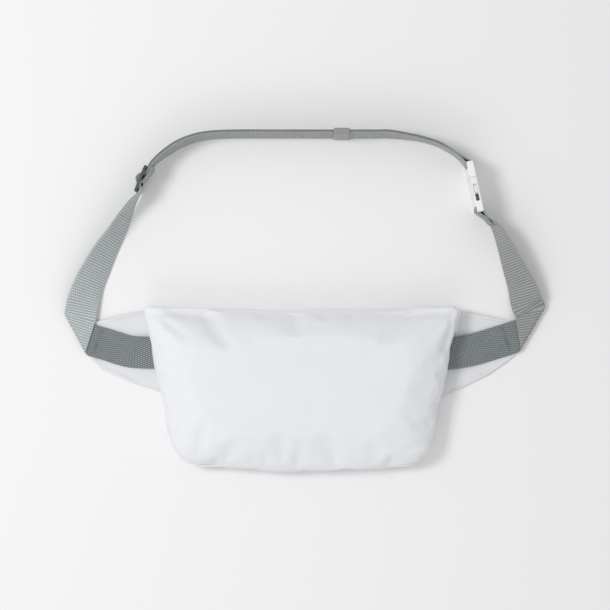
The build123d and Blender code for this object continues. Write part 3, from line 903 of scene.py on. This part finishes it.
def bag_corners(inset):
    """The bag's plan corners, anticlockwise from the top right, moved inwards."""
    top = BAG_HALF_HEIGHT - inset
    bottom = -BAG_HALF_HEIGHT + inset
    side_inset = inset * math.hypot(1, BAG_SLOPE)

    def side(y):
        return BAG_TOP_HALF - BAG_SLOPE * (BAG_HALF_HEIGHT - y) - side_inset

    corners = [(side(top), top), (-side(top), top), (-side(bottom), bottom), (side(bottom), bottom)]
    return [(x + BAG_MIDDLE_X, y) for x, y in corners]


def bag_line(inset):
    """The bag's plan outline at an inset, always with the same number of points."""
    radii = [TOP_CORNER, TOP_CORNER, BOTTOM_CORNER, BOTTOM_CORNER]
    return rounded_outline(bag_corners(inset), radii, (72, 32, 54, 32))


def natural_edge(line, amount=1.0):
    """The outline with the soft waves that sewn, unfilled edges take."""
    x, y = line[:, 0], line[:, 1]
    near_bottom = np.clip((-45 - y) / 30, 0, 1)
    near_top = np.clip((y - 60) / 12, 0, 1)
    wave_y = 0.8 * np.sin(x / 13.0) + 0.55 * np.sin(x / 6.7 + 1.3) + 0.35 * np.sin(x / 31.0 + 0.5)
    moved = line.copy()
    moved[:, 1] += amount * near_bottom * (wave_y + 0.6)
    bump_up = 2.2 * np.exp(-(((x + 134) / 8) ** 2)) + 1.2 * np.exp(-(((x - 134) / 10) ** 2))
    moved[:, 1] += amount * near_top * (0.4 * np.sin(x / 17.0) + bump_up * 0.6)
    moved[:, 1] += near_top * (3.2 * (x / 145) ** 2 - 2.0) + near_bottom * (7.5 * (x / 105) ** 2 - 1.0)
    side = np.sign(x) * np.clip(np.abs(x) - 100, 0, 20) / 20
    moved[:, 0] += amount * side * (0.9 * np.sin(y / 9.0 + x / 200) + 0.5 * np.sin(y / 4.3 + 2) - 0.6)
    return moved


# The shell's profile from the back seam, over the front seam, to the crown: (inset, height)
BACK_RINGS = [(62, 1.9), (40, 1.9), (20, 1.9), (8, 1.9), (2.5, 1.9)]
SIDE_RINGS = [(0.9, 2.6), (0.3, 5.0), (0.1, 9.0), (0.0, 13.5), (0.2, 18.0), (0.8, 21.0), (0.4, 22.6)]
FRONT_RINGS = [
    (0.6, 24.6), (2.4, 28.4), (5.6, 31.8), (11, 34.6),
    (20, 36.8), (32, 38.0), (46, 38.6), (62, 38.9),
]

# The back panel's profile, from the middle of its lower face round its edge to the middle of its upper face
PANEL_RINGS = [
    (64, 0.5), (40, 0.45), (18, 0.35), (6, 0.3), (1.4, 0.35), (0.5, 0.8),
    (0.5, 1.2), (1.4, 1.65), (6, 1.7), (18, 1.7), (40, 1.7), (64, 1.7),
]


def shell_rings():
    """The bag shell's rings of points, with the zip wall set back between the two seams."""
    rings = []
    for inset, height in BACK_RINGS + SIDE_RINGS + FRONT_RINGS:
        line = natural_edge(bag_line(inset), 0.5 if inset < 6 else 0.0)
        if height < 22.0:
            line[:, 1] = np.minimum(line[:, 1], ZIP_Y - 1.8)
        rings.append(at_height(line, height))
    return rings


def closed_shell(name, rings, material):
    """A closed mesh from rings, with a flat face at each end."""
    count = len(rings[0])
    points = np.concatenate(rings)
    faces = grid_faces(len(rings), count, True) + end_faces(len(rings), count)
    return make_piece(name, points, [tuple(reversed(face)) for face in faces], material)


def bake(piece):
    """Bakes a piece's modifiers into its mesh, as they stand."""
    graph = bpy.context.evaluated_depsgraph_get()
    mesh = bpy.data.meshes.new_from_object(piece.evaluated_get(graph))
    piece.modifiers.clear()
    piece.data = mesh


def apply_modifiers(piece):
    """Bakes a piece's modifiers into its mesh, and shades it smooth."""
    bpy.context.view_layer.update()
    bake(piece)
    mesh = piece.data
    mesh.polygons.foreach_set("use_smooth", [True] * len(mesh.polygons))


def make_finer(piece):
    """Divides a piece's faces once, smoothly."""
    finer = piece.modifiers.new("finer", "SUBSURF")
    finer.levels = finer.render_levels = 1
    apply_modifiers(piece)


def coordinates(piece):
    """A piece's points in millimetres."""
    flat = np.zeros(len(piece.data.vertices) * 3, np.float32)
    piece.data.vertices.foreach_get("co", flat)
    return flat.reshape(-1, 3).astype(float) / MM


def set_coordinates(piece, points):
    """Writes a piece's points back."""
    piece.data.vertices.foreach_set("co", (points * MM).astype(np.float32).ravel())
    piece.data.update()


def inflate(piece, held, shrink):
    """Blows a closed cloth up a little, with its seams held, and lets the slack pucker."""
    start = coordinates(piece)
    group = piece.vertex_groups.new(name="held")
    for weight in (1.0, 0.5):
        chosen = np.nonzero(held(start) >= weight)[0].tolist()
        group.add(chosen, weight, "REPLACE")
    cloth = piece.modifiers.new("cloth", "CLOTH")
    settings = cloth.settings
    settings.quality = 6
    settings.mass = 0.15
    settings.tension_stiffness = 12
    settings.compression_stiffness = 12
    settings.shear_stiffness = 4
    settings.bending_stiffness = 2.5
    settings.use_pressure = True
    settings.uniform_pressure_force = 4.0
    settings.shrink_min = shrink
    settings.vertex_group_mass = "held"
    settings.effector_weights.gravity = 0.0
    scene = bpy.context.scene
    for frame_number in range(1, 21):
        scene.frame_set(frame_number)
    bake(piece)
    scene.frame_set(1)
    moved = coordinates(piece) - start
    length = np.linalg.norm(moved, axis=1)
    scale = np.minimum(1.0, SWELL_CAP / np.maximum(length, 1e-6))
    set_coordinates(piece, start + moved * scale[:, None])


# Folds in the front: (start, end, depth, half width), in millimetres
FOLDS = [
    ((-139, 70), (-112, 52), 1.9, 3.4),
    ((-141, 66), (-122, 38), 1.6, 3.0),
    ((-128, 73), (-88, 66), 1.5, 3.6),
    ((138, 70), (116, 50), 1.7, 3.4),
    ((140, 64), (128, 34), 1.3, 3.2),
    ((126, 73), (82, 67), 1.4, 3.8),
    ((-134, -16), (-122, -24), 1.3, 2.6),
    ((-129, -38), (-112, -44), 1.2, 3.0),
    ((-92, -38), (-97, -68), 1.1, 4.2),
    ((-60, -54), (-57, -72), 0.4, 3.6),
    ((128, -22), (116, -32), 1.3, 2.8),
    ((118, -48), (98, -54), 1.2, 3.4),
    ((62, -56), (66, -72), 0.4, 4.0),
    ((-40, 40), (60, 36), 0.8, 15.0),
    ((-70, -10), (20, -22), 0.6, 16.0),
]


def fold_depth(points):
    """How far each point of the front sinks into the folds near it."""
    depth = np.zeros(len(points))
    for start, end, deep, wide in FOLDS:
        a, b = np.array(start, float), np.array(end, float)
        run = np.clip(((points[:, :2] - a) @ (b - a)) / ((b - a) @ (b - a)), -0.2, 1.2)
        off = np.linalg.norm(points[:, :2] - a - run[:, None] * (b - a), axis=1)
        taper = np.clip(1.2 - np.abs(run - 0.4), 0, 1)
        shape = np.exp(-((off / wide) ** 2)) - 0.45 * np.exp(-(((off - 2.1 * wide) / wide) ** 2))
        depth += deep * taper * shape
    return depth


def make_shell():
    """The padded compartment: lofted, remeshed, blown up as cloth, then creased."""
    piece = closed_shell("bag_shell", shell_rings(), LOOKS["fabric"])
    remesh = piece.modifiers.new("remesh", "REMESH")
    remesh.mode = "VOXEL"
    remesh.voxel_size = 3.4 * MM
    apply_modifiers(piece)

    def held(points):
        """How firmly each point is held: the back and the zip's wall fully, the front seam by half."""
        flat_back = points[:, 2] < 3.2
        zip_wall = (points[:, 1] > ZIP_Y - 4) & (points[:, 2] < 21.0)
        seam = (np.abs(points[:, 2] - SEAM_Z) < 1.8) & (edge_distance(points) < 2.6)
        return np.where(flat_back | zip_wall, 1.0, np.where(seam, 0.5, 0.0))

    inflate(piece, held, -0.012)
    points = coordinates(piece)
    front = np.clip((points[:, 2] - 21) / 6, 0, 1)
    points[:, 2] -= front * fold_depth(points)
    towards_zip = np.clip((points[:, 1] - 12) / 64, 0, 1)
    points[:, 2] -= front * TOP_SLOPE_DROP * towards_zip**2 * np.clip(edge_distance(points) / 6, 0, 1)
    side = np.clip((points[:, 2] - 3) / 5, 0, 1) * np.clip((22 - points[:, 2]) / 5, 0, 1)
    ripple = 0.5 * np.sin(points[:, 0] / 7 + points[:, 1] / 5) * side
    points[:, 0] -= np.sign(points[:, 0]) * np.abs(ripple)
    points[:, 2] = np.clip(points[:, 2], 1.75, DOME_TOP + 6)
    set_coordinates(piece, points)
    make_finer(piece)
    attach(piece, "bag")
    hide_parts("front_panel", "side_gusset")


def make_bindings():
    """The tapes that bind the two seams, inside the shell."""
    for node, height in (("back_seam_binding", 4.2), ("front_seam_binding", 19.4)):
        line = bag_line(5.0)
        line[:, 1] = np.minimum(line[:, 1], ZIP_Y - 5.0)
        line = at_height(line, height)
        piece = tube(f"{node}_tape", np.vstack([line, line[:1]]), 1.3, LOOKS["binding"], "bag")
        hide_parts(node)


def edge_distance(points):
    """How far inside the plan outline each point is, roughly."""
    side = BAG_TOP_HALF - BAG_SLOPE * (BAG_HALF_HEIGHT - points[:, 1]) - np.abs(points[:, 0] - BAG_MIDDLE_X)
    ends = BAG_HALF_HEIGHT - np.abs(points[:, 1])
    return np.minimum(side, ends)


def make_back():
    """The flat back panel, a little wavy along its free top edge."""
    rings = []
    for inset, height in PANEL_RINGS:
        line = natural_edge(bag_line(inset), 0.8 if inset < 6 else 0.0)
        rings.append(at_height(line, height))
    piece = closed_shell("bag_back", rings, LOOKS["fabric"])
    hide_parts("back_panel")
    width = 2 * BAG_TOP_HALF * MM
    height = 2 * BAG_HALF_HEIGHT * MM
    width * height * 0.9


# --- wings ------------------------------------------------------------------------------------------

# The wings' plan corners, anticlockwise from the lower corner at the bag
LEFT_WING = [
    (-126, -6), (-124, 70), (-140, 74), (-170, 68.5),
    (-199, 61.5), (-206, 34), (-188, 17.5), (-160, 5),
]
RIGHT_WING = [
    (126, -11), (174, 12.5), (192, 25), (207, 38),
    (204.5, 61), (174, 67.5), (140, 74), (124, 70),
]

# A wing's upper face from its edge inwards, with its turned hem: (inset, height)
WING_RINGS = [
    (0.0, 1.3), (0.35, 2.3), (1.0, 2.85), (2.2, 2.95), (3.4, 2.8), (4.4, 2.85),
    (6.5, 3.0), (10, 3.05), (15, 3.0), (21, 2.95), (28, 2.95),
]

# The height of the hem's stitches
HEM_SEAM_Z = 2.55


def wing_line(corners, inset):
    """A wing's outline, shrunk towards its middle by about an inset."""
    corners = np.array(corners, float)
    line = rounded_outline(corners, [6, 6, 6, 9, 7, 9, 9, 9], [12] * len(corners))
    middle = line.mean(axis=0)
    away = line - middle
    size = np.linalg.norm(away, axis=1)
    return middle + away * np.clip(1 - inset / size, 0.02, 1)[:, None]


def make_wing(side, corners):
    """A thin padded wing with a turned hem and a row of hem stitches."""
    rings = []
    for inset, _ in reversed(WING_RINGS):
        rings.append(at_height(wing_line(corners, inset), 0.3 if inset > 1 else 0.75))
    for inset, height in WING_RINGS:
        line = wing_line(corners, inset)
        x, y = line[:, 0], line[:, 1]
        soft = 0.22 * np.sin(x / 6.1 + y / 8.7) + 0.18 * np.sin(y / 4.2 - x / 11)
        inner = 1.0 if inset > 2.5 else 0.0
        rings.append(np.column_stack([line, height + inner * (soft - 0.3)]))
    # The wing is made in the darker copy of the white polyester, which carries painted shade.
    piece = closed_shell(f"{side}_wing_pad", rings, LOOKS["wing_fabric"])
    make_finer(piece)
    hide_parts(f"{side}_wing")
    hem = at_height(wing_line(corners, 3.5), HEM_SEAM_Z)
    stitches(f"{side}_wing_hem_stitches", hem, LOOKS["white_thread"])


def make_seam_tape(side):
    """A folded tape over the seam where a wing joins the bag."""
    node = f"{side}_wing_seam_tape"
    low, high = mm_box(node)
    sign = -1 if side == "left" else 1
    inner = min(abs(low[0]), abs(high[0])) - 3
    rows = []
    for t in np.linspace(0, 1, 24):
        y = high[1] + (low[1] - high[1]) * t
        x = inner + 8.6 - BAG_SLOPE * (high[1] - y) + 0.25 * math.sin(t * 9)
        rows.append((x, y))
    upper = [(-5, 0.0), (-2.2, 0.4), (0, 0.7), (1.9, 0.65)]
    lower = [(2.6, 0.2), (2.5, -0.5), (0, -0.55), (-5, -0.6)]
    section_points = upper + lower
    points = [
        (sign * (x + off), y, WING_TOP + 0.55 + rise) for x, y in rows for off, rise in section_points
    ]
    faces = grid_faces(len(rows), len(section_points), True)
    if sign > 0:
        faces = [tuple(reversed(face)) for face in faces]
    faces += end_faces(len(rows), len(section_points))
    piece = make_piece(f"{node}_cloth", points, faces, LOOKS["binding"], "bag")
    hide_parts(node)


# --- stitching --------------------------------------------------------------------------------------


def resample(line, step):
    """A polyline with evenly spaced points."""
    line = np.asarray(line, float)
    run = np.concatenate([[0], np.cumsum(np.linalg.norm(np.diff(line, axis=0), axis=1))])
    places = np.arange(0, run[-1], step)
    return np.column_stack([np.interp(places, run, line[:, k]) for k in range(3)])


# One stitch: (place along it, share of the thread's radius, height), with its ends pulled in
STITCH_PROFILE = [(0, 0.35, -0.1), (0.14, 0.9, 0.03), (0.5, 1.0, 0.1), (0.86, 0.9, 0.03), (1, 0.35, -0.1)]


def stitches(name, line, material):
    """A row of thread stitches along a line, each a small bowed capsule, as one mesh."""
    stitch, gap, radius = 2.4, 0.7, 0.2
    marks = resample(line, stitch + gap)
    points, faces = [], []
    sides = 6
    for a, b in zip(marks, marks[1:]):
        run = (b - a) / max(np.linalg.norm(b - a), 1e-6)
        across = np.cross(run, [0, 0, 1.0])
        across /= max(np.linalg.norm(across), 1e-6)
        up = np.cross(across, run)
        first = len(points)
        for t, size, lift in STITCH_PROFILE:
            centre = a + run * stitch * t + up * (lift + radius * 0.4)
            for k in range(sides):
                angle = 2 * math.pi * k / sides
                points.append(centre + radius * size * (math.cos(angle) * across + math.sin(angle) * up))
        capsule = grid_faces(5, sides, True) + end_faces(5, sides)
        faces += [tuple(first + v for v in face) for face in capsule]
    return make_piece(name, points, faces, material, "bag")


# Bar tacks: (plan place, heading of the webbing there, height of its upper face)
BAR_TACKS = [
    ((-152, 33.9), 172, 4.75),
    ((-192, 43.2), 164, 4.8),
    ((150, 34.4), 15, 4.75),
    ((190, 45.5), 18, 4.8),
]


def make_bar_tacks():
    """Dense zigzag bar tacks that sew the webbing to the wings."""
    count = 30
    half = WEBBING_WIDTH / 2 - 2.5
    for number, (place, heading, height) in enumerate(BAR_TACKS, 1):
        line = []
        for i in range(count):
            off = -half + 2 * half * i / (count - 1)
            step = 0.75 if i % 2 else -0.75
            spot = np.array(place) + left_of(heading) * off + along(heading) * step
            line.append((*spot, height + 0.12))
        piece = tube(f"bar_tack_{number}", line, 0.3, LOOKS["grey_thread"], "bag", sides=6)
        if number == 1:
            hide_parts("wing_bar_tacks")


def make_webbing_stitches():
    """The two rows that hold each wing webbing down, near its edges."""
    for side, run in (("left", LEFT_WING_RUN), ("right", RIGHT_WING_RUN)):
        rows, _ = smooth_path(run)
        forward = directions(rows[:, :2])
        for edge in (-1, 1):
            off = edge * (WEBBING_WIDTH / 2 - 2.2)
            x = rows[:, 0] - forward[:, 1] * off
            y = rows[:, 1] + forward[:, 0] * off
            line = np.column_stack([x, y, rows[:, 3] + WEBBING])
            kept = line[np.abs(line[:, 0]) > 146]
            place = "upper" if (edge < 0) == (side == "left") else "lower"
            stitches(f"{side}_webbing_stitches_{place}", kept, LOOKS["grey_thread"])


# --- zip --------------------------------------------------------------------------------------------


def make_coils():
    """Each coil row as a real spiral of nylon on its tape."""
    for node in ("zip_coil_lower", "zip_coil_upper"):
        low, high = mm_box(node)
        middle = (low + high) / 2
        _, half_y, half_z = (high - low) / 2
        wire = 0.32
        pitch = 1.25
        steps = 10
        turns = int((high[0] - low[0] - 2 * wire) / pitch)
        line = []
        for step in range(turns * steps + 1):
            angle = 2 * math.pi * step / steps
            x = low[0] + wire + pitch * step / steps
            y = middle[1] + (half_y - wire) * math.cos(angle)
            z = middle[2] + (half_z - wire) * math.sin(angle)
            line.append((x, y, z))
        piece = tube(f"{node}_spiral", line, wire, LOOKS["coil"], "bag", sides=6)
        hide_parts(node)


def make_tapes():
    """The zip's tapes, slightly rippled."""
    for node in ("zip_tape_lower", "zip_tape_upper"):
        low, high = mm_box(node)
        columns = np.arange(low[0], high[0] + 0.1, 2.0)
        half_y, half_z = (high[1:] - low[1:]) / 2
        section_points = rounded_section(half_y, half_z, 0.35, 4)
        points = []
        for x in columns:
            ripple = 0.12 * math.sin(x / 9.0) + 0.08 * math.sin(x / 3.7)
            for y, z, _, _ in section_points:
                points.append((x, (low[1] + high[1]) / 2 + y + ripple, (low[2] + high[2]) / 2 + z))
        size = (len(columns), len(section_points))
        faces = grid_faces(*size, True) + end_faces(*size)
        piece = make_piece(f"{node}_cloth", points, faces, LOOKS["binding"], "bag")
        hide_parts(node)


# --- everything -------------------------------------------------------------------------------------

LOOKS = {}


def make_looks():
    """Every material, by name."""
    LOOKS["fabric"] = white_fabric("white_polyester")
    # The wings take a darker copy of the white polyester, which carries painted shade.
    LOOKS["wing_fabric"] = white_fabric("wing_polyester_painted_shade", (0.76, 0.765, 0.79))
    LOOKS["binding"] = white_fabric("binding_tape", (0.86, 0.865, 0.87))
    # The dark webbing look is partly the weave's back face and partly painted shade, on the wing webbing, the
    # arch's outer layer and the buckle loop's way out.
    LOOKS["webbing_back_and_shade"] = webbing_material("webbing_back_and_shade", (0.05, 0.058, 0.06), (0.36, 0.4, 0.405), 0.95)
    # The next two looks are one grey webbing in two shades: the left strap's lighter copy carries painted
    # light, and the darker copy for the arch, the right strap, the end loop and the buckle loop carries
    # painted shade.
    LOOKS["webbing_painted_shaded"] = webbing_material("webbing_painted_shaded", (0.125, 0.135, 0.132), (0.46, 0.48, 0.467), 0.5)
    LOOKS["webbing_painted_lit"] = webbing_material("webbing_painted_lit", (0.19, 0.207, 0.214), (0.69, 0.74, 0.75), 0.5)
    LOOKS["keeper"] = webbing_material("keeper_elastic", (0.17, 0.17, 0.166), (0.37, 0.37, 0.357), 0.3)
    LOOKS["white_thread"] = thread_material("white_thread", (0.86, 0.86, 0.87))
    LOOKS["grey_thread"] = thread_material("grey_thread", (0.25, 0.27, 0.275))
    LOOKS["coil"] = plastic("zip_coil_nylon", (0.84, 0.845, 0.85), 0.4)
    LOOKS["white_plastic"] = plastic("white_acetal", (0.88, 0.885, 0.89), 0.32, glow=0.6)
    LOOKS["black_plastic"] = plastic("dark_acetal", (0.06, 0.065, 0.068), 0.38, 0.00003)
    LOOKS["metal"] = metal_material()
    LOOKS["foam"] = foam_material()


def dress_nodes():
    """The CAD's own hard parts and hidden parts, with finished surfaces."""
    for node in ("buckle_female", "buckle_male", "buckle_arm_upper", "buckle_arm_lower"):
        dress(node, "white_plastic", 0.45)
    dress("tri_glide", "black_plastic", 0.5)
    dress("zip_slider", "metal", 0.25)
    dress("zip_pull", "metal", 0.25)
    dress("zip_stops", "metal", 0.3)
    dress("foam_float_panel", "foam")
    dress("rope_anchor_loop", "binding")


make_camera()
make_looks()
make_stage()
dress_nodes()
make_left_strap()
make_end_loop()
make_arch()
make_right_strap()
make_keeper()
make_back()
make_shell()
make_bindings()
make_wing("left", LEFT_WING)
make_wing("right", RIGHT_WING)
for wing_side in ("left", "right"):
    make_seam_tape(wing_side)
make_bar_tacks()
make_webbing_stitches()
make_coils()
make_tapes()
